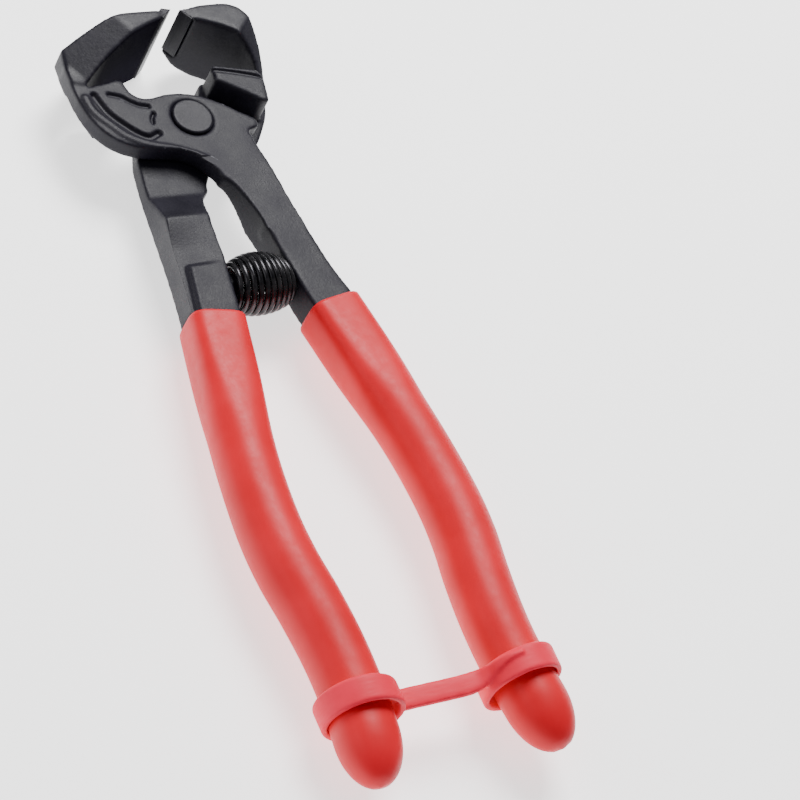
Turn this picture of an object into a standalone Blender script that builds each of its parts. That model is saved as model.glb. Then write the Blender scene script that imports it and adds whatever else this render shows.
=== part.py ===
"""Mosaic glass nippers, lying flat: two forged levers crossing in a lap joint on one rivet.

The origin is on the pivot axis, at the flat tail of the rivet. +Z is the pivot axis, towards
the front of the tool, and +Y runs from the pivot to the cutting edges. The front lever has
the left jaw and the right handle; the rear lever has the right jaw and the left handle.
Lengths below are in millimetres and are scaled to metres where objects are made.
"""
import math

import bmesh
import bpy
import numpy as np
from mathutils import Matrix, Vector

MM = 0.001
GAP = 0.3

# lap joint and rivet
PLATE_FACE = 5.0
LAP_HALF_GAP = 0.15
RIVET_HEAD_RADIUS = 5.2
RIVET_SHANK_RADIUS = 3.8
RIVET_PROUD = 0.5
RIVET_HEAD_DEPTH = 1.2
RIVET_FACE = PLATE_FACE + RIVET_PROUD

# jaws
JAW_HALF_WIDTH = 12.0
WEB_TURN = math.radians(-6.0)
JAW_TURN = {"front": math.radians(-8.8), "rear": math.radians(-7.3)}
EDGE_HALF_GAP = 1.5
EDGE_REACH = 28.3
SHOULDER_FACE = 8.0
FLARE_START = 15.0
FLARE_END = 32.0
BACK_FLARE_START = 16.5
BACK_FLARE_END = {"front": 28.5, "rear": 32.0}
RIM_STEP = 0.5
FLARE_HEADING = math.radians(216.9)
FLARE_ROOT_Y = 28.0
REAR_JAW_FAR_WIDTH = 8.6
CLIP_EDGE_WIDTH = 3.4
STRIP_BACK = 1.8
STRIP_END_MARGIN = 0.6
BEVEL_FOOT = (-3.9, 25.5)

# handles, grips and strap
BAR_HALF_THICKNESS = 4.75
RAMP_TOP_Y = -19.0
RAMP_END_Y = -28.5
NECK_END_Y = -35.0
BAR_SHOULDER_Y = -54.8
BAR_END_Y = -62.0
FAR = 40.0
TANG_RADIUS = 5.2
TANG_END_Y = -170.0
GRIP_RADIUS = 7.5
GRIP_TOP_Y = -56.5
GRIP_END_Y = -179.5
GRIP_NOSE = 11.0
STRAP_Y = -160.0
STRAP_BAND = 6.6
STRAP_WALL = 1.8
STRAP_SLACK = 0.45
TIE_WIDTH = 5.2
TIE_THICKNESS = 2.6

# return spring and its pegs
SPRING_Y = -46.8
SPRING_TURNS = 9.5
SPRING_WIRE_RADIUS = 0.7
SPRING_END_RADIUS = 5.0
SPRING_MID_RADIUS = 7.0
SPRING_CLEARANCE = 0.5
BAR_FACE_AT_SPRING = 8.3
BAR_FACE_SLOPE = 0.128
PEG_HEAD_RADIUS = 3.2
PEG_SHANK_RADIUS = 2.0
PEG_HEAD_LENGTH = 3.6
PEG_SHANK_LENGTH = 4.0

SMOOTH = "AUTO"
CORNER = "VECTOR"

# Centreline of the +X handle from the lap to the end of the grip.
HANDLE_LINE = ((14.5, -51.0), (16.0, -58.5), (18.4, -72.0), (20.6, -84.5), (22.6, -98.0), (23.7, -112.0),
               (23.4, -123.0), (22.0, -134.0), (21.1, -146.0), (21.3, -158.0), (22.6, -171.0), (24.0, -180.5))

STEEL_BLACK = (0.035, 0.037, 0.042, 1.0)
JAW_BLACK = (0.045, 0.047, 0.052, 1.0)
SPRING_BLACK = (0.02, 0.02, 0.022, 1.0)
GRIP_RED = (0.66, 0.02, 0.03, 1.0)
STRAP_RED = (0.85, 0.10, 0.12, 1.0)


def clear_scene():
    """Remove every object that the file holds."""
    for obj in list(bpy.data.objects):
        bpy.data.objects.remove(obj, do_unlink=True)


def new_collection(name):
    """A collection linked under the scene."""
    collection = bpy.data.collections.new(name)
    bpy.context.scene.collection.children.link(collection)
    return collection


def new_material(name, color, roughness, metallic):
    """A Principled material."""
    material = bpy.data.materials.new(name)
    material.use_nodes = True
    shader = material.node_tree.nodes["Principled BSDF"]
    shader.inputs["Base Color"].default_value = color
    shader.inputs["Roughness"].default_value = roughness
    shader.inputs["Metallic"].default_value = metallic
    material.diffuse_color = color
    return material


def rotation_about_pivot(angle):
    """A turn about the pivot axis."""
    return Matrix.Rotation(angle, 4, "Z")


def turned(points, angle):
    """Outline points turned about the pivot, each keeping its handle type."""
    cos_a = math.cos(angle)
    sin_a = math.sin(angle)
    return [(cos_a * x - sin_a * y, sin_a * x + cos_a * y, kind) for x, y, kind in points]


def mesh_from_curve(curve_object, name):
    """Replace a curve object with a welded mesh object in the same place."""
    bpy.context.view_layer.update()
    evaluated = curve_object.evaluated_get(bpy.context.evaluated_depsgraph_get())
    mesh = bpy.data.meshes.new_from_object(evaluated)
    shape = bmesh.new()
    shape.from_mesh(mesh)
    bmesh.ops.remove_doubles(shape, verts=shape.verts, dist=0.00001)
    bmesh.ops.recalc_face_normals(shape, faces=shape.faces)
    shape.to_mesh(mesh)
    shape.free()
    mesh.transform(curve_object.matrix_world)
    mesh.name = name
    bpy.data.objects.remove(curve_object, do_unlink=True)
    return bpy.data.objects.new(name, mesh)


def prism(name, outline, low, high, collection, steps=3, frame=None):
    """A flat outline of (x, y, handle type) points, extruded along Z from low to high."""
    curve = bpy.data.curves.new(name + "_line", "CURVE")
    curve.dimensions = "2D"
    curve.fill_mode = "BOTH"
    curve.extrude = (high - low) / 2 * MM
    curve.resolution_u = steps
    spline = curve.splines.new("BEZIER")
    spline.bezier_points.add(len(outline) - 1)
    for point, (x, y, kind) in zip(spline.bezier_points, outline):
        point.co = (x * MM, y * MM, 0.0)
        point.handle_left_type = kind
        point.handle_right_type = kind
    spline.use_cyclic_u = True
    obj = bpy.data.objects.new(name + "_line", curve)
    place = Matrix.Translation((0.0, 0.0, (high + low) / 2 * MM))
    obj.matrix_world = (frame or Matrix()) @ place
    collection.objects.link(obj)
    solid = mesh_from_curve(obj, name)
    collection.objects.link(solid)
    return solid


def swept_tube(name, points, radii, collection, sides=6):
    """A round solid along a polyline of points, with a radius at each point."""
    curve = bpy.data.curves.new(name + "_line", "CURVE")
    curve.dimensions = "3D"
    curve.bevel_depth = MM
    curve.bevel_resolution = sides
    curve.use_fill_caps = True
    curve.twist_mode = "Z_UP"
    spline = curve.splines.new("POLY")
    spline.points.add(len(points) - 1)
    for target, point, radius in zip(spline.points, points, radii):
        target.co = (point[0] * MM, point[1] * MM, point[2] * MM, 1.0)
        target.radius = radius
    obj = bpy.data.objects.new(name + "_line", curve)
    collection.objects.link(obj)
    solid = mesh_from_curve(obj, name)
    collection.objects.link(solid)
    return solid


def lathe(name, profile, collection, steps=32):
    """A solid turned about Z from a profile of (radius, height) points, top to bottom."""
    mesh = bpy.data.meshes.new(name)
    shape = bmesh.new()
    verts = [shape.verts.new((radius * MM, 0.0, height * MM)) for radius, height in profile]
    for first, second in zip(verts, verts[1:]):
        shape.edges.new((first, second))
    shape.to_mesh(mesh)
    shape.free()
    obj = bpy.data.objects.new(name, mesh)
    collection.objects.link(obj)
    screw = obj.modifiers.new("turn", "SCREW")
    screw.axis = "Z"
    screw.steps = steps
    screw.render_steps = steps
    screw.use_merge_vertices = True
    screw.merge_threshold = 0.00001
    screw.use_smooth_shade = False
    return obj


def combine(target, tool, operation, tools):
    """Add or cut a solid with an exact Boolean, keeping the tool as a hidden guide."""
    for holder in list(tool.users_collection):
        holder.objects.unlink(tool)
    tools.objects.link(tool)
    tool.hide_render = True
    tool.display_type = "WIRE"
    modifier = target.modifiers.new(operation.lower() + "_" + tool.name, "BOOLEAN")
    modifier.operation = operation
    modifier.object = tool


def apply_modifiers(obj):
    """Freeze an object's modifiers into its mesh."""
    bpy.context.view_layer.update()
    evaluated = obj.evaluated_get(bpy.context.evaluated_depsgraph_get())
    mesh = bpy.data.meshes.new_from_object(evaluated)
    obj.modifiers.clear()
    obj.data = mesh


def flip_over(obj):
    """Turn a solid half a turn about the Y axis, so that its front becomes its back."""
    obj.data.transform(Matrix.Rotation(math.pi, 4, "Y"))


def shade(obj, material, angle=35.0):
    """Give a solid its material and smooth shading with sharp creases."""
    obj.data.materials.clear()
    obj.data.materials.append(material)
    obj.data.shade_smooth()
    obj.data.set_sharp_from_angle(angle=math.radians(angle))


def smooth_line(points, count):
    """Evenly spaced points on a Catmull-Rom curve through the given points."""
    pts = np.array(points, dtype=float)
    ends = np.vstack([2 * pts[0] - pts[1], pts, 2 * pts[-1] - pts[-2]])
    dense = []
    for i in range(1, len(ends) - 2):
        a, b, c, d = ends[i - 1], ends[i], ends[i + 1], ends[i + 2]
        for t in np.linspace(0.0, 1.0, 12, endpoint=False):
            dense.append(0.5 * (2 * b + (c - a) * t + (2 * a - 5 * b + 4 * c - d) * t ** 2
                                + (3 * b - a - 3 * c + d) * t ** 3))
    dense.append(pts[-1])
    dense = np.array(dense)
    lengths = np.concatenate([[0.0], np.cumsum(np.linalg.norm(np.diff(dense, axis=0), axis=1))])
    targets = np.linspace(0.0, lengths[-1], count)
    return np.column_stack([np.interp(targets, lengths, dense[:, k]) for k in range(2)])


def handle_line_between(high_y, low_y, count):
    """Points of the +X handle's centreline from one height to a lower one."""
    line = smooth_line(HANDLE_LINE, 300)
    start = np.argmin(abs(line[:, 1] - high_y))
    stop = np.argmin(abs(line[:, 1] - low_y))
    picks = np.linspace(start, stop, count).round().astype(int)
    return line[picks]


# ---------------------------------------------------------------- levers

# Outlines are drawn for a lever whose jaw points to -X and whose handle goes to +X.
CLAW_OUTER = {
    "front": [(-9.0, 27.3, SMOOTH), (-16.9, 25.6, SMOOTH), (-23.6, 22.4, SMOOTH), (-30.4, 18.2, CORNER),
              (-30.1, 14.0, SMOOTH), (-29.4, 9.0, CORNER)],
    "rear": [(-9.6, 30.6, SMOOTH), (-16.6, 30.6, SMOOTH), (-19.6, 27.8, SMOOTH), (-22.6, 20.6, CORNER),
             (-23.1, 14.6, SMOOTH), (-23.2, 10.0, CORNER)],
}
CLAW_INNER = {
    "front": [(-25.6, 8.4, CORNER), (-21.2, 13.3, SMOOTH), (-15.8, 18.0, SMOOTH), (-10.3, 21.8, SMOOTH)],
    "rear": [(-20.4, 10.6, CORNER), (-20.2, 16.4, SMOOTH), (-15.5, 21.5, SMOOTH), (-10.3, 23.9, SMOOTH)],
}
WEB_SIDE = {
    "front": [(-27.6, 15.8, CORNER), (-29.5, 15.0, CORNER), (-28.9, 9.0, SMOOTH), (-27.9, 3.2, SMOOTH),
              (-26.0, -1.8, SMOOTH), (-22.8, -6.0, SMOOTH), (-18.0, -8.8, SMOOTH), (-12.0, -9.8, SMOOTH)],
    "rear": [(-22.8, 15.8, CORNER), (-24.8, 15.0, CORNER), (-24.2, 9.0, SMOOTH), (-23.0, 4.6, SMOOTH),
             (-21.0, 0.6, SMOOTH), (-18.6, -3.4, SMOOTH), (-15.8, -6.6, SMOOTH), (-11.5, -9.0, SMOOTH)],
}
WEB_HOLE_END = {
    "front": [(-11.2, 6.0, SMOOTH), (-13.7, 7.2, SMOOTH), (-14.7, 9.2, SMOOTH), (-15.6, 11.3, SMOOTH),
              (-20.0, 10.5, SMOOTH), (-25.9, 8.9, CORNER)],
    "rear": [(-5.6, 8.8, SMOOTH), (-6.8, 11.8, SMOOTH), (-7.6, 14.6, CORNER), (-14.0, 14.6, SMOOTH),
             (-20.2, 13.4, CORNER)],
}
SHOULDER = {
    "front": [(-12.0, 9.4, CORNER), (-13.4, 10.8, CORNER), (-20.6, 10.6, CORNER), (-23.3, 9.6, CORNER),
              (-21.4, 3.4, CORNER), (-18.9, 2.9, CORNER), (-13.4, 6.4, SMOOTH), (-11.6, 7.8, CORNER)],
    "rear": [(-8.0, 14.0, CORNER), (-19.8, 13.0, CORNER), (-21.2, 10.4, CORNER), (-20.6, 3.0, CORNER),
             (-18.7, 3.0, CORNER), (-13.4, 6.4, SMOOTH), (-7.8, 9.4, CORNER)],
}
NECK_INNER = {
    "front": [(0.8, -16.6), (3.2, -20.8), (5.1, -26.0), (6.4, -31.5), (7.0, NECK_END_Y)],
    "rear": [(0.8, -16.8), (3.8, -21.2), (5.8, -26.0), (6.9, -31.0), (7.2, NECK_END_Y)],
}
NECK_OUTER = {
    "front": [(17.2, NECK_END_Y), (16.2, -28.0), (15.2, -17.0)],
    "rear": [(19.0, NECK_END_Y), (18.4, -28.0), (17.5, -17.0)],
}
NECK_CORNER = {"front": (13.9, -9.2), "rear": (16.2, -7.8)}
BAR_OUTER = {
    "front": [(21.2, BAR_SHOULDER_Y), (19.3, -48.0), (17.7, -38.0)],
    "rear": [(21.4, BAR_SHOULDER_Y), (20.4, -48.0), (19.3, -38.0)],
}


def claw_outline(lever):
    """The claw from the edge round its outside to its base, and back along its inside."""
    edge = [(-EDGE_HALF_GAP, EDGE_REACH, CORNER)]
    foot = [(BEVEL_FOOT[0], BEVEL_FOOT[1], CORNER)]
    return edge + CLAW_OUTER[lever] + CLAW_INNER[lever] + foot


def neck_inner(lever):
    """The inner side of the neck, from the crotch down to the bar."""
    return [(x, y, SMOOTH) for x, y in NECK_INNER[lever]]


def web_outline(lever, turn):
    """The thin half of the lap: the head's web and the neck of the handle."""
    crotch = [(-4.6, -10.4, SMOOTH), (-1.6, -13.2, SMOOTH)] + neck_inner(lever)
    outer = [(*NECK_OUTER[lever][0], CORNER)] + [(x, y, SMOOTH) for x, y in NECK_OUTER[lever][1:]]
    outer += [(*NECK_CORNER[lever], CORNER)]
    ear = [(13.9, -3.8, CORNER), (17.4, -1.7, SMOOTH), (12.9, 2.2, SMOOTH), (7.6, 5.4, SMOOTH)]
    hole = [(2.0, 7.3, SMOOTH), (-4.0, 7.5, SMOOTH)] + WEB_HOLE_END[lever]
    return turned(WEB_SIDE[lever], turn) + crotch + outer + turned(ear + hole, turn)


def bar_foot(grow):
    """The corners of the bar's lower end, which the grip hides."""
    end = BAR_END_Y - grow
    return [(bar_inner_face(-54.0) - grow, -54.0, CORNER), (10.6 - grow, end, CORNER),
            (21.6 + grow, end, CORNER), (20.5 + grow, BAR_SHOULDER_Y - 0.1, CORNER)]


def lower_bar(name, lever, collection):
    """The full-thickness handle bar, from the top of the ramp down into the grip."""
    inner = neck_inner(lever) + [(bar_inner_face(-41.0), -41.0, CORNER)]
    outer = [(x, y, SMOOTH) for x, y in BAR_OUTER[lever]]
    outer[0] = (*BAR_OUTER[lever][0], CORNER)
    outer += [(*NECK_OUTER[lever][1], SMOOTH), (*NECK_OUTER[lever][2], CORNER)]
    return prism(name, inner + bar_foot(0.0) + outer, -BAR_HALF_THICKNESS, BAR_HALF_THICKNESS, collection)


def bar_pocket(name, collection):
    """The room for the lower end of the bar inside the grip."""
    half = BAR_HALF_THICKNESS + GAP
    top = [(20.5 + GAP, -50.0, CORNER), (bar_inner_face(-50.0) - GAP, -50.0, CORNER)]
    return prism(name, bar_foot(GAP) + top, -half, half, collection)


def ramp_cutter(name, collection):
    """A wedge that thins the neck from the bar's full thickness up to the lap."""
    past = 2.0
    deep = BAR_HALF_THICKNESS * 2.0
    slope = (BAR_HALF_THICKNESS + LAP_HALF_GAP) / (RAMP_TOP_Y - RAMP_END_Y)
    profile = [(0.0, LAP_HALF_GAP, CORNER), (RAMP_TOP_Y, LAP_HALF_GAP, CORNER),
               (RAMP_END_Y - past, -BAR_HALF_THICKNESS - past * slope, CORNER),
               (RAMP_END_Y - past, -deep, CORNER), (0.0, -deep, CORNER)]
    sideways = Matrix(((0.0, 0.0, 1.0, 0.0), (1.0, 0.0, 0.0, 0.0), (0.0, 1.0, 0.0, 0.0), (0.0, 0.0, 0.0, 1.0)))
    return prism(name, profile, -FAR, FAR, collection, frame=sideways)


def tang(name, grow, collection):
    """The round end of the lever inside its grip."""
    line = handle_line_between(BAR_END_Y + 4.0, TANG_END_Y - grow, 26)
    radii = np.full(len(line), TANG_RADIUS + grow)
    radii[-1] = (TANG_RADIUS + grow) * 0.55
    radii[-2] = (TANG_RADIUS + grow) * 0.9
    return swept_tube(name, [(x, y, 0.0) for x, y in line], radii, collection, sides=3)


def flare_cutter(name, side, start, end, end_height, collection):
    """A wedge that slopes one side face of the claw from its full width down towards its base."""
    slope = (JAW_HALF_WIDTH - end_height) / (end - start)
    first = start - 3.0
    profile = [(first, side * (JAW_HALF_WIDTH + 3.0 * slope), CORNER), (end, side * end_height, CORNER),
               (end + FAR, side * end_height, CORNER), (end + FAR, side * FAR, CORNER),
               (first, side * FAR, CORNER)]
    heading = Matrix.Rotation(FLARE_HEADING, 4, "Z")
    upright = Matrix.Rotation(math.pi / 2, 4, "X")
    root = Matrix.Translation((0.0, FLARE_ROOT_Y * MM, 0.0))
    return prism(name, profile, -2.0 * FAR, 2.0 * FAR, collection, frame=root @ heading @ upright)


def strip_outline(grow=0.0):
    """The section of the hard strip behind the bevel of a cutting edge."""
    edge = Vector((-EDGE_HALF_GAP, EDGE_REACH))
    foot = Vector(BEVEL_FOOT)
    along = (edge - foot).normalized()
    back = Vector((-along.y, along.x))
    top = edge.y + 0.12
    deep = foot + back * (STRIP_BACK + grow) - along * grow
    rise = (top + 3.0 * grow - deep.y) / along.y
    crest = deep + along * rise
    near_foot = foot - back * 3.0 * grow - along * grow
    near_edge = edge - back * 3.0 * grow + along * 3.0 * grow
    return [(point.x, point.y, CORNER) for point in (near_edge, near_foot, deep, crest)]


def clip_far_corner(claw, name, tools):
    """Narrow the rear claw on its far side and round off the far end of its edge."""
    far = REAR_JAW_FAR_WIDTH
    edge_x = -EDGE_HALF_GAP
    corner = [(edge_x + 2.0, JAW_HALF_WIDTH + 1.0, CORNER), (-FAR, JAW_HALF_WIDTH + 1.0, CORNER),
              (-FAR, far, CORNER), (edge_x - 9.0, far, CORNER), (edge_x - 4.4, far - 1.6, SMOOTH),
              (edge_x, CLIP_EDGE_WIDTH, CORNER), (edge_x + 2.0, CLIP_EDGE_WIDTH - 0.6, CORNER)]
    upright = Matrix.Rotation(math.pi / 2, 4, "X")
    clip = prism(name + "_clipped_corner", corner, -FAR, 0.0, tools, frame=upright)
    combine(claw, clip, "DIFFERENCE", tools)


def build_lever(lever_name, parts, tools):
    """One forged lever: claw, web, shoulder and handle bar, in its resting place."""
    is_rear = lever_name == "rear"
    name = lever_name + "_lever"
    turn = -WEB_TURN if is_rear else WEB_TURN
    jaw_turn = -JAW_TURN["rear"] if is_rear else JAW_TURN["front"]
    lever = prism(name, web_outline(lever_name, turn), LAP_HALF_GAP, PLATE_FACE, parts)
    claw = prism(name + "_claw", claw_outline(lever_name), -JAW_HALF_WIDTH, JAW_HALF_WIDTH, tools)
    web_side = flare_cutter(name + "_web_flare", 1.0, FLARE_START, FLARE_END, PLATE_FACE + RIM_STEP, tools)
    back_side = flare_cutter(name + "_back_flare", -1.0, BACK_FLARE_START, BACK_FLARE_END[lever_name],
                             RIM_STEP, tools)
    combine(claw, web_side, "DIFFERENCE", tools)
    combine(claw, back_side, "DIFFERENCE", tools)
    if is_rear:
        clip_far_corner(claw, name, tools)
    apply_modifiers(claw)
    claw.data.transform(rotation_about_pivot(jaw_turn))
    combine(lever, claw, "UNION", tools)
    shoulder = prism(name + "_shoulder", turned(SHOULDER[lever_name], turn), -SHOULDER_FACE,
                     LAP_HALF_GAP + 1.0, tools)
    combine(lever, shoulder, "UNION", tools)
    bar = lower_bar(name + "_bar", lever_name, tools)
    combine(bar, ramp_cutter(name + "_ramp", tools), "DIFFERENCE", tools)
    apply_modifiers(bar)
    combine(lever, bar, "UNION", tools)
    combine(lever, tang(name + "_tang", 0.0, tools), "UNION", tools)
    bore = lathe(name + "_bore", [(0.0, 20.0), (RIVET_HEAD_RADIUS + GAP, 20.0),
                                  (RIVET_HEAD_RADIUS + GAP, RIVET_FACE - RIVET_HEAD_DEPTH - GAP),
                                  (RIVET_SHANK_RADIUS + GAP, RIVET_FACE - RIVET_HEAD_DEPTH - GAP),
                                  (RIVET_SHANK_RADIUS + GAP, -20.0), (0.0, -20.0)], tools)
    combine(lever, bore, "DIFFERENCE", tools)
    apply_modifiers(lever)
    if is_rear:
        flip_over(lever)
    return lever


def build_rivet(parts):
    """The solid rivet: two low flat heads on one shank."""
    bevel = 0.3
    face, head, shank = RIVET_FACE, RIVET_HEAD_RADIUS, RIVET_SHANK_RADIUS
    under = face - RIVET_HEAD_DEPTH
    half = [(0.0, face), (head - bevel, face), (head, face - bevel), (head, under), (shank, under)]
    profile = half + [(radius, -height) for radius, height in reversed(half)]
    rivet = lathe("pivot_rivet", profile, parts, steps=40)
    apply_modifiers(rivet)
    return rivet


# ---------------------------------------------------------------- grips, spring and strap

def grip_radius(distance_to_end):
    """The grip's radius, rounded off to a bullet nose at its free end."""
    if distance_to_end >= GRIP_NOSE:
        return GRIP_RADIUS
    part = 1.0 - distance_to_end / GRIP_NOSE
    return GRIP_RADIUS * max(0.06, 1.0 - max(part, 0.0) ** 2.2) ** 0.5


def build_grip(name, is_rear, parts, tools):
    """A dipped vinyl sleeve, open at the top and closed round the lever's tang."""
    line = handle_line_between(GRIP_TOP_Y, GRIP_END_Y, 60)
    body = line[line[:, 1] > GRIP_END_Y + GRIP_NOSE + 1.0][::2]
    nose = handle_line_between(GRIP_END_Y + GRIP_NOSE, GRIP_END_Y, 8)
    points = [(x, y, 0.0) for x, y in np.vstack([body, nose])]
    radii = [grip_radius(y - GRIP_END_Y) for x, y, z in points]
    radii[0] = GRIP_RADIUS - 0.5
    grip = swept_tube(name, points, radii, parts, sides=6)
    combine(grip, bar_pocket(name + "_bar_pocket", tools), "DIFFERENCE", tools)
    combine(grip, tang(name + "_tang_pocket", GAP, tools), "DIFFERENCE", tools)
    apply_modifiers(grip)
    if is_rear:
        flip_over(grip)
    return grip


def bar_inner_face(y):
    """How far the inner face of the +X handle bar is from the tool's axis, beside the spring."""
    return BAR_FACE_AT_SPRING - BAR_FACE_SLOPE * (y - SPRING_Y)


def build_spring(parts):
    """A barrel compression spring across the tool, its end turns lying along the handle bars."""
    steps = int(SPRING_TURNS * 14)
    points = []
    for i in range(steps + 1):
        t = i / steps
        angle = t * SPRING_TURNS * 2.0 * math.pi
        radius = SPRING_END_RADIUS + (SPRING_MID_RADIUS - SPRING_END_RADIUS) * math.sin(math.pi * t) ** 0.7
        y = SPRING_Y + radius * math.cos(angle)
        reach = bar_inner_face(y) - SPRING_CLEARANCE - SPRING_WIRE_RADIUS
        points.append(((2.0 * t - 1.0) * reach, y, radius * math.sin(angle)))
    return swept_tube("return_spring", points, [SPRING_WIRE_RADIUS] * len(points), parts, sides=2)


def peg_profile(grow):
    """A peg about Z, its head up: the shank sits in the handle and the head in the coil."""
    head, shank = PEG_HEAD_RADIUS, PEG_SHANK_RADIUS
    if grow:
        return [(0.0, 1.5), (shank + grow, 1.5), (shank + grow, -PEG_SHANK_LENGTH - grow),
                (0.0, -PEG_SHANK_LENGTH - grow)]
    return [(0.0, PEG_HEAD_LENGTH), (head - 0.8, PEG_HEAD_LENGTH), (head, PEG_HEAD_LENGTH - 0.8), (head, GAP),
            (shank, GAP), (shank, -PEG_SHANK_LENGTH), (0.0, -PEG_SHANK_LENGTH)]


def peg_frame(is_rear):
    """Where a peg stands on its handle bar, its head pointing at the other handle."""
    lean = Matrix.Rotation(math.atan(BAR_FACE_SLOPE), 4, "Z")
    across = Matrix.Rotation(-math.pi / 2, 4, "Y")
    place = Matrix.Translation((BAR_FACE_AT_SPRING * MM, SPRING_Y * MM, 0.0)) @ lean @ across
    return Matrix.Rotation(math.pi, 4, "Y") @ place if is_rear else place


def build_peg(name, is_rear, lever, parts, tools):
    """A short pin that keeps one end of the spring in place."""
    peg = lathe(name, peg_profile(0.0), parts, steps=16)
    apply_modifiers(peg)
    peg.data.transform(peg_frame(is_rear))
    hole = lathe(name + "_hole", peg_profile(GAP), tools, steps=16)
    apply_modifiers(hole)
    hole.data.transform(peg_frame(is_rear))
    combine(lever, hole, "DIFFERENCE", tools)
    apply_modifiers(lever)
    return peg


def strap_ring(name, side, radius, band, tools):
    """A short round sleeve about one grip, as a solid of the given radius."""
    line = handle_line_between(STRAP_Y + band / 2, STRAP_Y - band / 2, 2)
    points = [(side * x, y, 0.0) for x, y in line]
    return swept_tube(name, points, [radius, radius], tools, sides=6)


def build_strap(parts, tools):
    """One moulded strap: a loop round each grip, and a flat tie between them."""
    bore = GRIP_RADIUS + STRAP_SLACK
    outer = bore + STRAP_WALL
    centre = handle_line_between(STRAP_Y, STRAP_Y - 1.0, 2)[0][0]
    strap = strap_ring("retaining_strap", 1.0, outer, STRAP_BAND, parts)
    combine(strap, strap_ring("rear_loop", -1.0, outer, STRAP_BAND, tools), "UNION", tools)
    inner = centre - bore - STRAP_WALL / 2
    half = TIE_WIDTH / 2
    tie_outline = [(-inner, STRAP_Y - half, CORNER), (inner, STRAP_Y - half, CORNER),
                   (inner, STRAP_Y + half, CORNER), (-inner, STRAP_Y + half, CORNER)]
    tie = prism("strap_tie", tie_outline, -TIE_THICKNESS / 2, TIE_THICKNESS / 2, tools)
    combine(strap, tie, "UNION", tools)
    for side in (1.0, -1.0):
        hole = strap_ring("loop_bore_" + str(int(side)), side, bore, STRAP_BAND * 3, tools)
        combine(strap, hole, "DIFFERENCE", tools)
    apply_modifiers(strap)
    return strap


def build_insert(name, is_rear, lever, parts, tools):
    """A hard strip brazed into the inside of one cutting edge, and the seat cut for it."""
    turn = -JAW_TURN["rear"] if is_rear else JAW_TURN["front"]
    low = -JAW_HALF_WIDTH + STRIP_END_MARGIN
    high = JAW_HALF_WIDTH - STRIP_END_MARGIN
    if is_rear:
        high = CLIP_EDGE_WIDTH - 0.8
    strip = prism(name, turned(strip_outline(), turn), low, high, parts)
    seat = prism(name + "_seat", turned(strip_outline(GAP), turn), low - GAP, high + GAP, tools)
    if is_rear:
        flip_over(strip)
        flip_over(seat)
    combine(lever, seat, "DIFFERENCE", tools)
    apply_modifiers(lever)
    return strip


def build_all():
    """Make every piece, then hang them all on the frame's empties."""
    clear_scene()
    parts = new_collection("mosaic_glass_nippers")
    tools = new_collection("cutters")
    steel = new_material("lever_steel", STEEL_BLACK, 0.45, 0.6)
    edge = new_material("edge_strip", JAW_BLACK, 0.3, 0.8)
    rivet_steel = new_material("rivet_steel", STEEL_BLACK, 0.4, 0.6)
    wire = new_material("spring_wire", SPRING_BLACK, 0.25, 0.7)
    vinyl = new_material("grip_vinyl", GRIP_RED, 0.25, 0.0)
    strap_plastic = new_material("strap_plastic", STRAP_RED, 0.4, 0.0)

    front = build_lever("front", parts, tools)
    rear = build_lever("rear", parts, tools)
    front_peg = build_peg("front_spring_peg", False, front, parts, tools)
    rear_peg = build_peg("rear_spring_peg", True, rear, parts, tools)
    front_insert = build_insert("front_edge_strip", False, front, parts, tools)
    rear_insert = build_insert("rear_edge_strip", True, rear, parts, tools)
    front_grip = build_grip("front_grip", False, parts, tools)
    rear_grip = build_grip("rear_grip", True, parts, tools)
    rivet = build_rivet(parts)
    spring = build_spring(parts)
    strap = build_strap(parts, tools)

    pivot = bpy.data.objects.new("pivot", None)
    closing = bpy.data.objects.new("closing_axis", None)
    for empty in (pivot, closing):
        parts.objects.link(empty)
    closing.parent = pivot
    for obj in (front, front_insert, front_peg, front_grip, rivet, spring, strap):
        obj.parent = pivot
    for obj in (rear, rear_insert, rear_peg, rear_grip):
        obj.parent = closing
    pivot.location = (0.0, 0.0, RIVET_FACE * MM)

    for obj in (front, rear, front_peg, rear_peg):
        shade(obj, steel)
    for obj in (front_insert, rear_insert):
        shade(obj, edge)
    for obj in (front_grip, rear_grip):
        shade(obj, vinyl)
    shade(rivet, rivet_steel)
    shade(spring, wire, 80.0)
    shade(strap, strap_plastic)


build_all()
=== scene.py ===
"""The looks of the mosaic glass nippers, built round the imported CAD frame.

Lengths in this file are in millimetres, in the tool's own coordinates: the pivot axis is Z, the
mid-plane of the lap joint is z = 0 and +Y runs to the cutting edges. place() takes them to the frame.
"""
import math

import bmesh
import bpy
import numpy as np
from mathutils import Matrix, Vector


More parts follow.
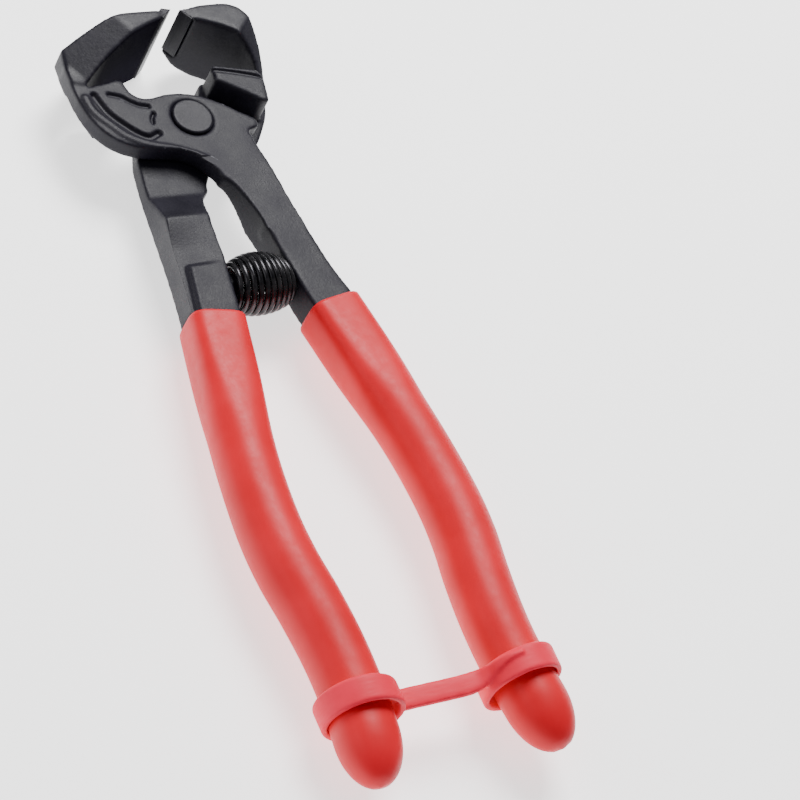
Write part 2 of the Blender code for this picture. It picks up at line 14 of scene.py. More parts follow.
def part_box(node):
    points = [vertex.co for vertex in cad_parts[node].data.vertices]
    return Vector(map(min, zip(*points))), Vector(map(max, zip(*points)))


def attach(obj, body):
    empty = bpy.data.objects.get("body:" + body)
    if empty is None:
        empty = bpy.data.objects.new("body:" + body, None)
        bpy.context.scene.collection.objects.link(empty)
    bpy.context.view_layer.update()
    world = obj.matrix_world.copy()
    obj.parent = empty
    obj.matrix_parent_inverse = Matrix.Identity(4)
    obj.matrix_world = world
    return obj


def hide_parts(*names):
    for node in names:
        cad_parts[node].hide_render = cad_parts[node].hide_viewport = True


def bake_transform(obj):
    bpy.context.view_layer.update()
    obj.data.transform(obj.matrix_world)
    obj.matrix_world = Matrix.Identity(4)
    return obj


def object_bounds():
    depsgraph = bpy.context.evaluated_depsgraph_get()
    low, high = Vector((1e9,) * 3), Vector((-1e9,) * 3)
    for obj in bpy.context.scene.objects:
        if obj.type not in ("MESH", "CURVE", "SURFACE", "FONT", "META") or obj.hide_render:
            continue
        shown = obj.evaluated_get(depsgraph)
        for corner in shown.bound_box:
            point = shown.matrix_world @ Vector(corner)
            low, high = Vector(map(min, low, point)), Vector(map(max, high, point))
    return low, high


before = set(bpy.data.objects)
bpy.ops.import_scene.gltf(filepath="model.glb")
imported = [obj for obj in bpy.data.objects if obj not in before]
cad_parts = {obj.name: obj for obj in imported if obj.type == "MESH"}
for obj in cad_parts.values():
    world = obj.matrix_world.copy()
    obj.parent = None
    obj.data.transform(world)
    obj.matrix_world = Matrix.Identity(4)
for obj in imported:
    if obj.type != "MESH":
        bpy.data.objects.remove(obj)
cad_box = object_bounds()

MM = 0.001
FRONT = "front_half"
REAR = "rear_half"
RIVET_LOW, RIVET_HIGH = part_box("pivot_rivet")
MID_PLANE = (RIVET_LOW.z + RIVET_HIGH.z) / 2
FLOOR = cad_box[0].z

# levers
LEVER_VOXEL = 0.40
WEB_FACE = 5.0
BAR_FACE = 4.75
BAR_START_Y = -12.0
EDGE_TURN = {FRONT: math.radians(-8.8), REAR: math.radians(-7.3)}
EDGE_SIDE = {FRONT: -1.0, REAR: 1.0}
EDGE_POINT = (1.5, 28.3)
BEVEL_FOOT = (3.9, 25.5)
CLAW_START = 10.0
CLAW_FULL = 18.0
SEAT_FILL = 0.24
STRIP_DEPTH = 1.8
STRIP_LENGTH = 3.0

# the rear bar's tilted face, and the flat pad on it above the grip
TILT_START_Y = -27.0
TILT_FULL_Y = -38.0
BAR_TILT = 0.13
PAD_CORNER = (-17.5, -42.0)
PAD_LEAN = 0.178

# spring
SPRING_Y = -46.8
SPRING_TURNS = 9.5
SPRING_END_RADIUS = 5.0
SPRING_MIDDLE_RADIUS = 7.0
SPRING_BLEND_REACH = 8.0
WIRE_RADIUS = 0.72
BAR_INNER = 8.3
BAR_LEAN = 0.128
BAR_CLEARANCE = 0.5

# grips and strap
HANDLE_LINE = ((14.5, -51.0), (16.0, -58.5), (18.4, -72.0), (20.6, -84.5), (22.6, -98.0),
               (23.7, -112.0), (23.4, -123.0), (22.0, -134.0), (21.1, -146.0), (21.3, -158.0),
               (22.6, -171.0), (24.0, -180.5))
GRIP_TOP = -56.5
GRIP_END = -179.5
GRIP_RADIUS = 7.5
GRIP_NOSE = 13.0
MOUTH_DEPTH = 1.6
MOUTH_SCALE = 0.86
STRAP_VOXEL = 0.32
STRAP_Y = -160.0
STRAP_BAND = 6.6
STRAP_WALL = 1.45
STRAP_SLACK = 0.85
STRAP_INWARD = 0.55
STRAP_TILT = 0.06
STRAP_CORNER = 0.45
TIE_WIDTH = 5.3
TIE_THICKNESS = 2.0

# floor, lights and camera
FLOOR_HALF = 3.0
FLOOR_GLOW = 1.5
SURROUND = 0.25
LIGHT_SIZE = 0.5
LIGHT_AIM = (0.0, -0.07, 0.0)
CAMERA_TURN = -0.45
CAMERA_PLACE = (-0.37359, -0.43007, 0.57831)
CAMERA_BACK = (-0.50828, -0.44233, 0.73892)
CAMERA_RIGHT = (0.85346, -0.37340, 0.36356)
CAMERA_LENS = 149.58


# ---------------------------------------------------------------- mesh tools

def place(points):
    """Points in the tool's millimetres, as points of the frame in metres."""
    points = np.asarray(points, dtype=float) * MM
    points[:, 2] += MID_PLANE
    return points


def tool_points(mesh):
    """A mesh's points in the tool's millimetres."""
    points = np.empty(len(mesh.vertices) * 3)
    mesh.vertices.foreach_get("co", points)
    points = points.reshape(-1, 3)
    points[:, 2] -= MID_PLANE
    return points / MM


def set_points(mesh, points):
    """Give a mesh new points, in the tool's millimetres."""
    mesh.vertices.foreach_set("co", place(points).ravel())
    mesh.update()


def new_object(name, mesh):
    """A linked object that holds a mesh."""
    obj = bpy.data.objects.new(name, mesh)
    bpy.context.scene.collection.objects.link(obj)
    return obj


def baked(obj):
    """Freeze an object's modifiers into its mesh."""
    bpy.context.view_layer.update()
    mesh = bpy.data.meshes.new_from_object(obj.evaluated_get(bpy.context.evaluated_depsgraph_get()))
    obj.modifiers.clear()
    obj.data = mesh
    return obj


def voxel_remeshed(obj, size):
    """Rebuild an object's surface as an even grid of small faces."""
    remesh = obj.modifiers.new("remesh", "REMESH")
    remesh.mode = "VOXEL"
    remesh.voxel_size = size * MM
    remesh.adaptivity = 0.0
    return baked(obj)


def relaxed(mesh, points, rounds, weight):
    """Move each point towards the mean of its neighbours, a few times over."""
    edges = np.empty(len(mesh.edges) * 2, dtype=np.int64)
    mesh.edges.foreach_get("vertices", edges)
    first, second = edges.reshape(-1, 2).T
    count = len(points)
    degree = np.bincount(first, minlength=count) + np.bincount(second, minlength=count)
    weight = np.broadcast_to(weight, count)[:, None]
    for _ in range(rounds):
        mean = np.empty_like(points)
        for axis in range(3):
            near = np.bincount(first, points[second, axis], count)
            far = np.bincount(second, points[first, axis], count)
            mean[:, axis] = (near + far) / degree
        points = points + weight * (mean - points)
    return points


def normals(mesh):
    """A mesh's point normals."""
    found = np.empty(len(mesh.vertices) * 3)
    mesh.vertices.foreach_get("normal", found)
    return found.reshape(-1, 3)


def smooth_path(points, count):
    """Evenly spaced points on a Catmull-Rom curve through the given points."""
    pts = np.array(points, dtype=float)
    ends = np.vstack([2 * pts[0] - pts[1], pts, 2 * pts[-1] - pts[-2]])
    dense = []
    for a, b, c, d in zip(ends, ends[1:], ends[2:], ends[3:]):
        for t in np.linspace(0.0, 1.0, 12, endpoint=False):
            dense.append(0.5 * (2 * b + (c - a) * t + (2 * a - 5 * b + 4 * c - d) * t ** 2
                                + (3 * b - a - 3 * c + d) * t ** 3))
    dense = np.array(dense + [pts[-1]])
    length = np.concatenate([[0.0], np.cumsum(np.linalg.norm(np.diff(dense, axis=0), axis=1))])
    targets = np.linspace(0.0, length[-1], count)
    return np.column_stack([np.interp(targets, length, column) for column in dense.T])


def distance_to_path(points, path):
    """How far each point's (x, y) is from a polyline."""
    best = np.full(len(points), 1e9)
    for a, b in zip(path, path[1:]):
        run = b - a
        share = np.clip(((points[:, :2] - a) @ run) / (run @ run), 0.0, 1.0)
        gap = np.linalg.norm(points[:, :2] - (a + share[:, None] * run), axis=1)
        best = np.minimum(best, gap)
    return best


def eased(value, low, high):
    """0 below low, 1 above high, and a smooth turn between."""
    t = np.clip((value - low) / (high - low), 0.0, 1.0)
    return t * t * (3 - 2 * t)


def shaded(obj, angle=None):
    """Smooth shading, with creases above an angle where one is given."""
    obj.data.shade_smooth()
    if angle:
        obj.data.set_sharp_from_angle(angle=math.radians(angle))
    return obj


def finished(obj, material, slot_name, *nodes):
    """Give a piece its material and let it stand for its CAD nodes, which it hides; the slot name is not
    used.
    """
    obj.data.materials.clear()
    obj.data.materials.append(material)
    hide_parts(*nodes)
    return obj


def skinned(name, rings, closed=False):
    """A surface through rings of points, capped at both ends unless the rings close on themselves."""
    mesh = bpy.data.meshes.new(name)
    shape = bmesh.new()
    loops = [[shape.verts.new(point) for point in place(ring)] for ring in rings]
    pairs = list(zip(loops, loops[1:]))
    if closed:
        pairs.append((loops[-1], loops[0]))
    for first, second in pairs:
        for i in range(len(first)):
            j = (i + 1) % len(first)
            shape.faces.new((first[i], first[j], second[j], second[i]))
    if not closed:
        shape.faces.new(loops[0])
        shape.faces.new(loops[-1])
    bmesh.ops.recalc_face_normals(shape, faces=shape.faces)
    shape.to_mesh(mesh)
    shape.free()
    return new_object(name, mesh)


# ---------------------------------------------------------------- materials

class Nodes:
    """A small helper for building one material's node tree."""

    def __init__(self, name, color, roughness, specular=0.5, metallic=0.0):
        self.material = bpy.data.materials.new(name)
        self.material.use_nodes = True
        self.tree = self.material.node_tree
        self.shader = self.tree.nodes["Principled BSDF"]
        self.shader.inputs["Base Color"].default_value = (*color, 1.0)
        self.shader.inputs["Roughness"].default_value = roughness
        self.shader.inputs["Specular IOR Level"].default_value = specular
        self.shader.inputs["Metallic"].default_value = metallic
        self.where = self.add("ShaderNodeTexCoord").outputs["Object"]

    def add(self, kind, **inputs):
        """A node with some of its inputs set, or linked where the value is a socket."""
        node = self.tree.nodes.new(kind)
        for key, value in inputs.items():
            socket = node.inputs[key.replace("_", " ")]
            if isinstance(value, bpy.types.NodeSocket):
                self.tree.links.new(value, socket)
            else:
                socket.default_value = value
        return node

    def noise(self, size, detail=3.0, roughness=0.5, where=None):
        """Cloudy noise whose blobs are about size millimetres across."""
        return self.add("ShaderNodeTexNoise", Vector=where or self.where, Scale=1.0 / (size * MM),
                        Detail=detail, Roughness=roughness).outputs["Fac"]

    def remap(self, value, low, high, out_low=0.0, out_high=1.0):
        """A clamped change of range."""
        node = self.add("ShaderNodeMapRange", Value=value)
        ends = (("From Min", low), ("From Max", high), ("To Min", out_low), ("To Max", out_high))
        for key, number in ends:
            node.inputs[key].default_value = number
        return node.outputs["Result"]

    def math(self, operation, first, second):
        """Two values put together."""
        node = self.tree.nodes.new("ShaderNodeMath")
        node.operation = operation
        for socket, value in zip(node.inputs, (first, second)):
            if isinstance(value, bpy.types.NodeSocket):
                self.tree.links.new(value, socket)
            else:
                socket.default_value = value
        return node.outputs["Value"]

    def mix(self, factor, first, second):
        """Two colours mixed by a factor."""
        node = self.tree.nodes.new("ShaderNodeMix")
        node.data_type = "RGBA"
        self.tree.links.new(factor, node.inputs["Factor"])
        for key, value in (("A", first), ("B", second)):
            socket = next(s for s in node.inputs if s.name == key and s.type == "RGBA")
            if isinstance(value, bpy.types.NodeSocket):
                self.tree.links.new(value, socket)
            else:
                socket.default_value = (*value, 1.0)
        return next(s for s in node.outputs if s.type == "RGBA")

    def link(self, key, socket):
        """Drive one of the shader's inputs."""
        self.tree.links.new(socket, self.shader.inputs[key])

    def bump(self, *layers):
        """Stack bump layers, each (height socket, depth in millimetres)."""
        last = None
        for height, depth in layers:
            node = self.add("ShaderNodeBump", Height=height, Distance=depth * MM, Strength=1.0)
            if last:
                self.tree.links.new(last, node.inputs["Normal"])
            last = node.outputs["Normal"]
        self.link("Normal", last)

    def facing(self, direction):
        """How much a face looks along a direction."""
        node = self.tree.nodes.new("ShaderNodeVectorMath")
        node.operation = "DOT_PRODUCT"
        self.tree.links.new(self.add("ShaderNodeNewGeometry").outputs["Normal"], node.inputs[0])
        node.inputs[1].default_value = direction
        return node.outputs["Value"]

    def along(self, axis):
        """One coordinate, in metres."""
        split = self.add("ShaderNodeSeparateXYZ", Vector=self.where)
        return split.outputs[axis]


def forged_paint():
    """Satin black paint on forged steel, grainy on the bars, smoother on the claws, dull in the hollow."""
    n = Nodes("forged_black_paint", (0.018, 0.017, 0.025), 0.4, specular=0.24)
    grain = n.noise(0.42, detail=4.0, roughness=0.65)
    cloud = n.noise(7.0, detail=4.0)
    speck = n.noise(1.1, detail=2.0)
    claw = n.remap(n.along("Y"), CLAW_START * MM, CLAW_FULL * MM)
    base = n.mix(n.remap(cloud, 0.3, 0.7), (0.0048, 0.0042, 0.0090), (0.0092, 0.0080, 0.0150))
    base = n.mix(n.remap(grain, 0.55, 0.75, 0.0, 0.5), base, (0.028, 0.026, 0.039))
    edge = n.add("ShaderNodeNewGeometry").outputs["Pointiness"]
    worn = n.math("MULTIPLY", n.remap(edge, 0.53, 0.60), n.remap(speck, 0.42, 0.62, 0.1, 0.8))
    n.link("Base Color", n.mix(worn, base, (0.10, 0.098, 0.115)))
    rough = n.math("ADD", n.remap(cloud, 0.3, 0.7, -0.04, 0.05), n.remap(grain, 0.3, 0.7, -0.05, 0.07))
    hollow = n.math("MULTIPLY", claw, n.remap(n.facing((0.75, -0.66, 0.0)), 0.5, 0.85))
    rough = n.math("ADD", rough, n.math("MULTIPLY", hollow, 0.4))
    n.link("Roughness", n.math("ADD", rough, n.remap(claw, 0.0, 1.0, 0.48, 0.43)))
    n.link("Specular IOR Level", n.remap(hollow, 0.0, 1.0, 0.24, 0.02))
    fine = n.math("MULTIPLY", grain, n.remap(claw, 0.0, 1.0, 1.0, 0.3))
    n.bump((cloud, 0.08), (speck, 0.035), (fine, 0.06))
    return n.material


def ground_steel():
    """The ground and blackened strip behind each cutting edge, with fine lines along the edge."""
    n = Nodes("ground_edge", (0.02, 0.02, 0.026), 0.4, specular=0.24)
    stretched = n.add("ShaderNodeMapping", Vector=n.where)
    stretched.inputs["Scale"].default_value = (1.0, 1.0, 0.04)
    lines = n.noise(0.25, detail=3.0, where=stretched.outputs["Vector"])
    cloud = n.noise(4.0)
    shade = n.mix(n.remap(lines, 0.35, 0.7), (0.0048, 0.0042, 0.0090), (0.012, 0.011, 0.0175))
    n.link("Base Color", shade)
    n.link("Roughness", n.remap(cloud, 0.3, 0.7, 0.34, 0.48))
    n.bump((lines, 0.02))
    return n.material


def rivet_paint():
    """The rivet's painted head, smoother than the levers."""
    n = Nodes("rivet_black_paint", (0.02, 0.02, 0.028), 0.4, specular=0.24)
    grain = n.noise(0.5, detail=3.0)
    cloud = n.noise(3.0, detail=3.0)
    shade = n.mix(n.remap(cloud, 0.3, 0.7), (0.0055, 0.0048, 0.0095), (0.0098, 0.0086, 0.0155))
    n.link("Base Color", shade)
    n.link("Roughness", n.remap(grain, 0.3, 0.7, 0.42, 0.52))
    n.bump((cloud, 0.05), (grain, 0.03))
    return n.material


def spring_steel():
    """Drawn spring wire with an oily black finish."""
    n = Nodes("spring_black_wire", (0.02, 0.02, 0.024), 0.2, metallic=0.7)
    cloud = n.noise(2.2, detail=4.0)
    grain = n.noise(0.3, detail=2.0)
    n.link("Base Color", n.mix(n.remap(cloud, 0.35, 0.7), (0.010, 0.010, 0.013), (0.05, 0.048, 0.052)))
    n.link("Roughness", n.remap(cloud, 0.3, 0.7, 0.16, 0.34))
    n.bump((grain, 0.012))
    return n.material


def dipped_vinyl():
    """Red vinyl with a soft sheen, dipped, with slow waves and fine dust in its skin."""
    n = Nodes("red_dipped_vinyl", (0.60, 0.008, 0.018), 0.45, specular=0.22)
    wave = n.noise(14.0, detail=2.0)
    fine = n.noise(0.7, detail=3.0)
    dust = n.noise(2.5, detail=5.0, roughness=0.7)
    base = n.mix(n.remap(wave, 0.3, 0.7), (0.64, 0.004, 0.013), (0.74, 0.007, 0.020))
    n.link("Base Color", n.mix(n.remap(dust, 0.60, 0.78, 0.0, 0.2), base, (0.74, 0.025, 0.04)))
    rough = n.math("ADD", n.remap(dust, 0.35, 0.7, 0.38, 0.50), n.remap(fine, 0.3, 0.7, -0.02, 0.03))
    n.link("Roughness", rough)
    n.bump((wave, 0.35), (fine, 0.012))
    return n.material


def moulded_strap():
    """Softer pinkish red plastic with a faint moulded grain along the band."""
    n = Nodes("strap_soft_red", (0.75, 0.03, 0.06), 0.5, specular=0.2)
    stretched = n.add("ShaderNodeMapping", Vector=n.where)
    stretched.inputs["Scale"].default_value = (0.15, 1.0, 0.3)
    lines = n.noise(0.5, detail=3.0, where=stretched.outputs["Vector"])
    cloud = n.noise(6.0, detail=3.0)
    n.link("Base Color", n.mix(n.remap(cloud, 0.3, 0.7), (0.80, 0.014, 0.045), (0.88, 0.020, 0.058)))
    n.link("Roughness", n.remap(lines, 0.3, 0.7, 0.45, 0.60))
    n.bump((cloud, 0.08), (lines, 0.03))
    return n.material


PAINT = forged_paint()
EDGE = ground_steel()
RIVET = rivet_paint()
WIRE = spring_steel()
VINYL = dipped_vinyl()
STRAP = moulded_strap()


# ---------------------------------------------------------------- levers

def groove(points, path, floor, mouth, depth):
    """How far each point sinks into a trench along a path: half its floor, half its mouth, its depth."""
    line = smooth_path(path, 60)
    return depth * (1.0 - eased(distance_to_path(points, line), floor, mouth))


def edge_frame(body):
    """A cutting edge's (x, y), the direction from the bevel's foot to it, and the way behind the bevel."""
    turn = EDGE_TURN[body]
    spin = np.array([[math.cos(turn), -math.sin(turn)], [math.sin(turn), math.cos(turn)]])
    side = EDGE_SIDE[body]
    edge = spin @ (side * EDGE_POINT[0], EDGE_POINT[1])
    foot = spin @ (side * BEVEL_FOOT[0], BEVEL_FOOT[1])
    along = (edge - foot) / np.linalg.norm(edge - foot)
    behind = np.array([along[1], -along[0]]) * side
    return edge, along, behind


def front_marks(points):
    """The crescent-shaped recess beside the rivet, and the soft rib round the border of the web."""
    lower = [(-23.0, 9.1), (-22.4, 6.6), (-21.2, 3.3), (-18.6, -0.3), (-15.8, -3.3), (-13.2, -4.7),
             (-10.6, -3.8)]
    upper = [(-19.1, 9.0), (-16.4, 8.0), (-14.5, 6.4), (-12.6, 5.1), (-10.3, 4.4)]
    right = [(-9.6, 2.2), (-10.5, 0.9), (-10.9, -0.6)]
    rib = [(-25.6, 8.3), (-25.3, 5.1), (-24.1, 2.5), (-22.1, -0.3), (-19.7, -3.5), (-16.3, -6.0),
             (-12.7, -7.6), (-8.2, -9.0), (-4.3, -10.8), (-0.0, -13.4)]
    sink = groove(points, lower, 0.25, 1.15, 0.95)
    sink = np.maximum(sink, groove(points, upper, 0.15, 0.85, 0.75))
    sink = np.maximum(sink, groove(points, right, 0.10, 0.65, 0.75))
    return sink - groove(points, rib, 0.2, 1.7, 0.45)


def rear_marks(points):
    """The ledge above the shoulder block."""
    ledge = groove(points, [(9.6, 11.6), (15.3, 10.2), (21.6, 8.2)], 0.15, 0.8, 0.6)
    return ledge * (points[:, 1] > 5.0)


def bar_top(points, body):
    """How high the face of a bar may stand: level in front, tilted outwards with a flat pad behind."""
    x, y = points[:, 0], points[:, 1]
    if body == FRONT:
        return WEB_FACE - (WEB_FACE - BAR_FACE) * eased(-y, -BAR_START_Y, -TILT_FULL_Y)
    across = np.maximum(-x - (BAR_INNER - BAR_LEAN * (y - SPRING_Y)), 0.0)
    border = PAD_CORNER[0] + PAD_LEAN * (y - PAD_CORNER[1])
    pad = eased(x - border, -1.0, 0.4) * eased(PAD_CORNER[1] - y, -0.6, 1.2)
    tilted = BAR_FACE - BAR_TILT * across * eased(-y, -TILT_START_Y, -TILT_FULL_Y) * (1.0 - pad)
    return np.where((x < 0.0) & (y < TILT_START_Y), tilted, WEB_FACE)


def refined(obj, chosen):
    """Split the faces between chosen points into nine smaller ones each."""
    shape = bmesh.new()
    shape.from_mesh(obj.data)
    edges = [edge for edge in shape.edges if chosen[edge.verts[0].index] and chosen[edge.verts[1].index]]
    bmesh.ops.subdivide_edges(shape, edges=edges, cuts=2, use_grid_fill=True)
    shape.to_mesh(obj.data)
    shape.free()


def build_lever(node, marks, body):
    """One forged lever: its CAD solid with rounded edges, forging marks and a lively skin."""
    obj = new_object("forged_" + node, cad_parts[node].data.copy())
    voxel_remeshed(obj, LEVER_VOXEL)
    points = tool_points(obj.data)
    edge = edge_frame(body)[0]
    crisp = eased(np.linalg.norm(points[:, :2] - edge, axis=1), 0.6, 3.0)
    points = relaxed(obj.data, points, 7, 0.15 + 0.45 * crisp)
    set_points(obj.data, points)
    upward = normals(obj.data)[:, 2] > 0.3
    refined(obj, upward & (points[:, 1] > -16.0) & (abs(marks(points)) > 0.01))
    points = tool_points(obj.data)
    points[:, 2] -= marks(points) * eased(normals(obj.data)[:, 2], -0.2, 0.4)
    lowered = np.minimum(points[:, 2], bar_top(points, body))
    points[:, 2] = np.where(points[:, 1] < BAR_START_Y, lowered, points[:, 2])
    set_points(obj.data, points)
    shaded(obj)
    finished(obj, PAINT, "lever_steel", node)
    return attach(obj, body)


build_lever("front_lever", front_marks, FRONT)
build_lever("rear_lever", rear_marks, REAR)


# ---------------------------------------------------------------- small steel pieces

def seated(shape, body):
    """Push the hidden faces of an edge strip out to its seat, which leaves a hairline seam."""
    edge, along, behind = edge_frame(body)
    middle_z = sum(vert.co.z for vert in shape.verts) / len(shape.verts)
    for vert in shape.verts:
        flat = np.array(vert.co.xy) / MM - edge
        back = min(max(flat @ behind / STRIP_DEPTH, 0.0), 1.0)
        foot = min(max(-flat @ along / STRIP_LENGTH, 0.0), 1.0)
        move = (behind * back - along * foot) * SEAT_FILL
        end = math.copysign(SEAT_FILL, vert.co.z - middle_z)
        vert.co += Vector((move[0], move[1], end)) * MM


def build_softened(node, width, material, slot_name, body, is_strip=False):
    """A CAD piece with its sharp corners broken."""
    obj = new_object(node + "_finished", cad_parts[node].data.copy())
    shape = bmesh.new()
    shape.from_mesh(obj.data)
    if is_strip:
        seated(shape, body)
    bmesh.ops.remove_doubles(shape, verts=shape.verts, dist=0.00001)
    bmesh.ops.dissolve_limit(shape, angle_limit=math.radians(2.0), verts=shape.verts, edges=shape.edges)
    shape.to_mesh(obj.data)
    shape.free()
    bevel = obj.modifiers.new("bevel", "BEVEL")
    bevel.width = width * MM
    bevel.segments = 3
    bevel.limit_method = "ANGLE"
    baked(obj)
    shaded(obj, 40.0)
    finished(obj, material, slot_name, node)
    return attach(obj, body)


def build_rivet():
    """The rivet, turned, with a softly broken rim round each flat head."""
    head = (RIVET_HIGH.x - RIVET_LOW.x) / 2 / MM
    face = (RIVET_HIGH.z - RIVET_LOW.z) / 2 / MM
    shank = 3.8
    under = face - 1.2
    rim = 0.55
    profile = [(0.02, face - 0.06), (head * 0.5, face - 0.03), (head - 0.9, face)]
    for i in range(7):
        angle = math.radians(90.0 * (1.0 - i / 6.0))
        profile.append((head - rim + rim * math.cos(angle), face - rim + rim * math.sin(angle)))
    profile += [(head, under), (shank, under)]
    profile += [(radius, -height) for radius, height in reversed(profile)]
    turns = np.linspace(0.0, 2.0 * math.pi, 96, endpoint=False)
    rings = [[(r * math.cos(a), r * math.sin(a), z) for a in turns] for r, z in profile]
    obj = shaded(skinned("turned_rivet", rings), 50.0)
    finished(obj, RIVET, "rivet_steel", "pivot_rivet")
    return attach(obj, FRONT)


build_softened("front_edge_strip", 0.12, EDGE, "edge_strip", FRONT, is_strip=True)
build_softened("rear_edge_strip", 0.12, EDGE, "edge_strip", REAR, is_strip=True)
build_softened("front_spring_peg", 0.25, PAINT, "lever_steel", FRONT)
build_softened("rear_spring_peg", 0.25, PAINT, "lever_steel", REAR)
build_rivet()


# ---------------------------------------------------------------- spring

def tube(name, path, radius, sides=12):
    """A round wire along a path, with hemispherical ends."""
    tangent = np.gradient(path, axis=0)
    tangent /= np.linalg.norm(tangent, axis=1)[:, None]
    across = np.cross(tangent, (1.0, 0.0, 0.0))
    across /= np.linalg.norm(across, axis=1)[:, None]
    up = np.cross(tangent, across)
    turns = np.linspace(0.0, 2.0 * math.pi, sides, endpoint=False)
    rings = []
    last = len(path) - 1
    for i, point in enumerate(path):
        before = [(-0.9, 0.35), (-0.6, 0.8)] if i == 0 else []
        after = [(0.6, 0.8), (0.9, 0.35)] if i == last else []
        for lift, scale in before + [(0.0, 1.0)] + after:
            rings.append([point + tangent[i] * lift * radius + scale * radius
                          * (math.cos(a) * across[i] + math.sin(a) * up[i]) for a in turns])
    return skinned(name, rings)


def build_spring():
    """A barrel spring whose end turns lie along the two handle bars."""
    steps = int(SPRING_TURNS * 40)
    t = np.linspace(0.0, 1.0, steps + 1)
    angle = t * SPRING_TURNS * 2.0 * math.pi
    bulge = np.sin(math.pi * t) ** 0.7
    radius = SPRING_END_RADIUS + (SPRING_MIDDLE_RADIUS - SPRING_END_RADIUS) * bulge
    y = SPRING_Y + radius * np.cos(angle)
    reach = BAR_INNER - BAR_LEAN * (y - SPRING_Y) - BAR_CLEARANCE - WIRE_RADIUS
    path = np.column_stack([(2.0 * t - 1.0) * reach, y, radius * np.sin(angle)])
    obj = shaded(tube("coiled_spring", path, WIRE_RADIUS))
    finished(obj, WIRE, "spring_wire", "return_spring")
    start, end = place([(SPRING_BLEND_REACH, SPRING_Y, 0.0), (-SPRING_BLEND_REACH, SPRING_Y, 0.0)])
    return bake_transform(obj)


build_spring()


# ---------------------------------------------------------------- grips and strap

def squircle(angle, half_width, half_depth, power):
    """A point of a rounded-rectangle section: power 2 is an ellipse, and more is squarer."""
    cos_a, sin_a = math.cos(angle), math.sin(angle)
    size = (abs(cos_a / half_width) ** power + abs(sin_a / half_depth) ** power) ** (-1.0 / power)
    return size * cos_a, size * sin_a


def grip_section(down, to_end):
    """A grip's half-width, half-depth and squareness, so far below its mouth and above its end."""
    round_part = eased(down, 2.0, 34.0)
    half_width = 7.15 + 0.35 * round_part + 0.12 * math.sin(down * 0.11) * round_part
    half_depth = 6.6 + 0.75 * round_part + 0.10 * math.sin(down * 0.09 + 1.0) * round_part
    lip = math.sqrt(max(0.0, 1.0 - max(0.0, 1.0 - down) ** 2))
    nose = math.sqrt(max(0.0004, 1.0 - max(0.0, 1.0 - to_end / GRIP_NOSE) ** 2.1))
    shrink = (MOUTH_SCALE + (1.0 - MOUTH_SCALE) * lip) * nose
    return half_width * shrink, half_depth * shrink, 4.2 - 2.1 * round_part


def build_grip(name, side, node, body):
    """A dipped vinyl grip: square over the bar at its mouth, round lower down, with a bullet nose."""
    line = smooth_path(HANDLE_LINE, 900)
    line = line[(line[:, 1] <= GRIP_TOP) & (line[:, 1] >= GRIP_END)]
    heights = np.concatenate([GRIP_TOP - np.linspace(0.0, 4.0, 12),
                              np.linspace(GRIP_TOP - 5.5, GRIP_END + GRIP_NOSE, 90),
                              GRIP_END + GRIP_NOSE * np.cos(np.linspace(0.05, 0.5 * math.pi, 26))])
    heights = np.sort(np.clip(heights, GRIP_END, GRIP_TOP))[::-1]
    centre = np.interp(-heights, -line[:, 1], line[:, 0])
    slope = np.gradient(centre, heights)
    turns = np.linspace(0.0, 2.0 * math.pi, 72, endpoint=False)
    rings = []
    for x, y, lean in zip(centre, heights, slope):
        half_width, half_depth, power = grip_section(GRIP_TOP - y, y - GRIP_END)
        across = Vector((1.0, -lean, 0.0)).normalized()
        ring = []
        for angle in turns:
            u, w = squircle(angle, half_width, half_depth, power)
            ring.append((side * (x + u * across.x), y + u * across.y, w))
        rings.append(ring)
    middle = side * centre[0]
    mouth = [(middle + (x - middle) * MOUTH_SCALE, y - MOUTH_DEPTH, z * MOUTH_SCALE)
             for x, y, z in rings[0]]
    obj = shaded(skinned(name, [mouth] + rings), 60.0)
    finished(obj, VINYL, "grip_vinyl", node)
    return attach(obj, body)


def strap_ring(side, middle):
    """One loop of the strap: a slack band round a grip, tilted a little."""
    inner = GRIP_RADIUS + STRAP_SLACK
    outer = inner + STRAP_WALL
    half = STRAP_BAND / 2.0
    corner = STRAP_CORNER
    section = [(inner, -half + corner), (inner + corner, -half), (outer - corner, -half),
               (outer, -half + corner), (outer, half - corner), (outer - corner, half),
               (inner + corner, half), (inner, half - corner)]
    rings = []
    for angle in np.linspace(0.0, 2.0 * math.pi, 96, endpoint=False):
        ring = []
        for radius, height in section:
            x = radius * math.cos(angle)
            rise = height + STRAP_TILT * x * side
            ring.append((middle + x, STRAP_Y + rise, radius * math.sin(angle)))
        rings.append(ring)
    return skinned("loop", rings, closed=True)


def strap_tie(left, right, radius):
    """The flat tie from one loop to the other, ending in a tapered rib that lies over the second loop."""
    over = radius + 0.1
    path = [(left + radius - 1.2, -0.3), (left + radius + 3.0, 0.1), (right - radius - 4.0, 1.3)]
    path += [(right - over * math.cos(a), over * math.sin(a)) for a in np.radians((20, 38, 56, 76))]
    path = smooth_path(path, 60)
    step = np.gradient(path, axis=0)
    step /= np.linalg.norm(step, axis=1)[:, None]
    rings = []
    for i, ((x, z), (dx, dz)) in enumerate(zip(path, step)):
        share = i / (len(path) - 1)
        half = TIE_WIDTH / 2.0 * (1.0 - 0.8 * eased(share, 0.55, 1.0))
        thick = TIE_THICKNESS / 2.0 * (1.0 - 0.45 * eased(share, 0.6, 1.0))
        y = STRAP_Y - 0.2 + 1.6 * eased(share, 0.5, 1.0)
        ring = []
        for a in np.linspace(0.0, 2.0 * math.pi, 20, endpoint=False):
            u, w = squircle(a, half, thick, 5.0)
            ring.append((x - dz * w, y + u, z + dx * w))
        rings.append(ring)
    return skinned("tie", rings)


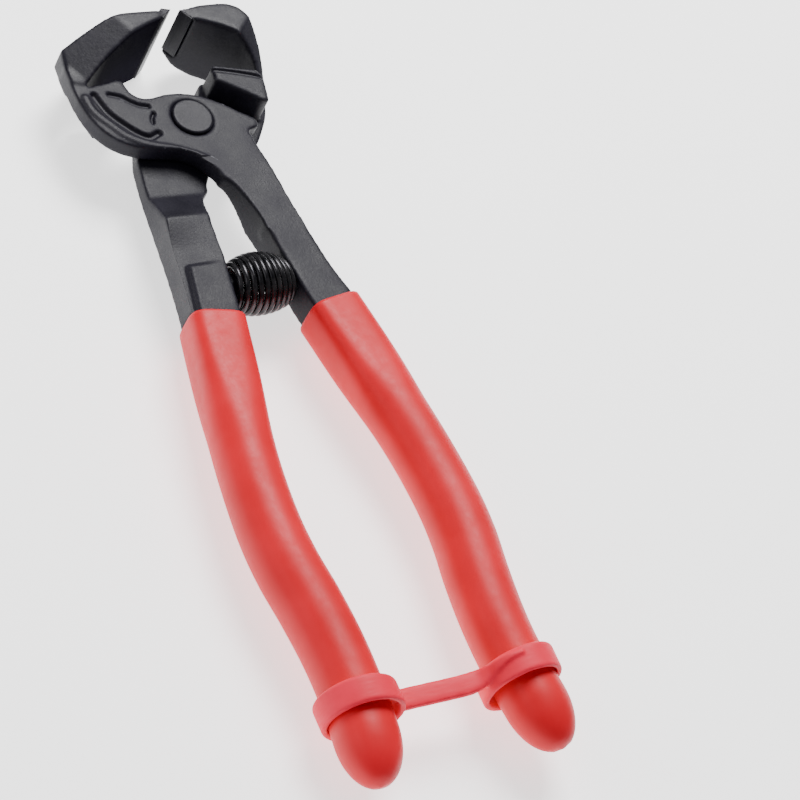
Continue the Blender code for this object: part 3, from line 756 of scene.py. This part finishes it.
def build_strap():
    """The moulded strap that holds the handles together: two loops and a tie."""
    line = smooth_path(HANDLE_LINE, 400)
    centre = float(np.interp(-STRAP_Y, -line[:, 1], line[:, 0]))
    left, right = -centre + STRAP_INWARD, centre - STRAP_INWARD
    outer = GRIP_RADIUS + STRAP_SLACK + STRAP_WALL
    pieces = [strap_ring(-1.0, left), strap_ring(1.0, right), strap_tie(left, right, outer)]
    shape = bmesh.new()
    for piece in pieces:
        shape.from_mesh(piece.data)
        bpy.data.objects.remove(piece)
    mesh = bpy.data.meshes.new("tied_strap")
    shape.to_mesh(mesh)
    shape.free()
    obj = voxel_remeshed(new_object("tied_strap", mesh), STRAP_VOXEL)
    set_points(obj.data, relaxed(obj.data, tool_points(obj.data), 3, 0.5))
    shaded(obj)
    finished(obj, STRAP, "strap_plastic", "retaining_strap")
    start, end = place([(centre - outer, STRAP_Y, 0.0), (outer - centre, STRAP_Y, 0.0)])
    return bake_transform(obj)


build_grip("dipped_front_grip", 1.0, "front_grip", FRONT)
build_grip("dipped_rear_grip", -1.0, "rear_grip", REAR)
build_strap()


# ---------------------------------------------------------------- floor, lights and camera

def build_floor():
    """A plain pale floor that the tool lies on."""
    mesh = bpy.data.meshes.new("floor")
    corners = ((-1, -1), (1, -1), (1, 1), (-1, 1))
    mesh.from_pydata([(x * FLOOR_HALF, y * FLOOR_HALF, FLOOR) for x, y in corners], [], [(0, 1, 2, 3)])
    obj = new_object("floor", mesh)
    n = Nodes("pale_floor", (0.90, 0.90, 0.90), 0.7)
    cloud = n.noise(60.0, detail=2.0)
    n.link("Base Color", n.mix(n.remap(cloud, 0.3, 0.7), (0.92, 0.92, 0.92), (0.94, 0.94, 0.94)))
    n.shader.inputs["Emission Color"].default_value = (1.0, 1.0, 1.0, 1.0)
    n.shader.inputs["Emission Strength"].default_value = FLOOR_GLOW
    obj.data.materials.append(n.material)


def area_light(name, place_at, power):
    """A large soft light that points at the tool."""
    data = bpy.data.lights.new(name, "AREA")
    data.size = LIGHT_SIZE
    data.energy = power
    obj = bpy.data.objects.new(name, data)
    obj.location = place_at
    obj.rotation_euler = (Vector(LIGHT_AIM) - Vector(place_at)).to_track_quat("-Z", "Y").to_euler()
    bpy.context.scene.collection.objects.link(obj)


def build_camera():
    """A long lens that looks down on the tool from the handle side and the left."""
    back = Vector(CAMERA_BACK).normalized()
    right = Vector(CAMERA_RIGHT).normalized()
    up = back.cross(right).normalized()
    right = up.cross(back)
    data = bpy.data.cameras.new("camera")
    data.lens = CAMERA_LENS
    data.sensor_width = 36.0
    camera = bpy.data.objects.new("camera", data)
    turn = Matrix((right, up, back)).transposed().to_4x4()
    stand = Matrix.Translation(Vector(CAMERA_PLACE) + Vector((0.0, 0.0, MID_PLANE))) @ turn
    camera.matrix_world = Matrix.Rotation(math.radians(CAMERA_TURN), 4, "Z") @ stand
    bpy.context.scene.collection.objects.link(camera)
    bpy.context.scene.camera = camera


def build_world():
    """Even, soft surroundings."""
    world = bpy.data.worlds.new("studio")
    world.use_nodes = True
    background = world.node_tree.nodes["Background"]
    background.inputs["Color"].default_value = (1.0, 1.0, 1.0, 1.0)
    background.inputs["Strength"].default_value = SURROUND
    bpy.context.scene.world = world


build_floor()
build_world()
area_light("key", (0.25, 0.45, 0.80), 17.0)
area_light("side", (-0.75, 0.05, 0.50), 1.3)
build_camera()
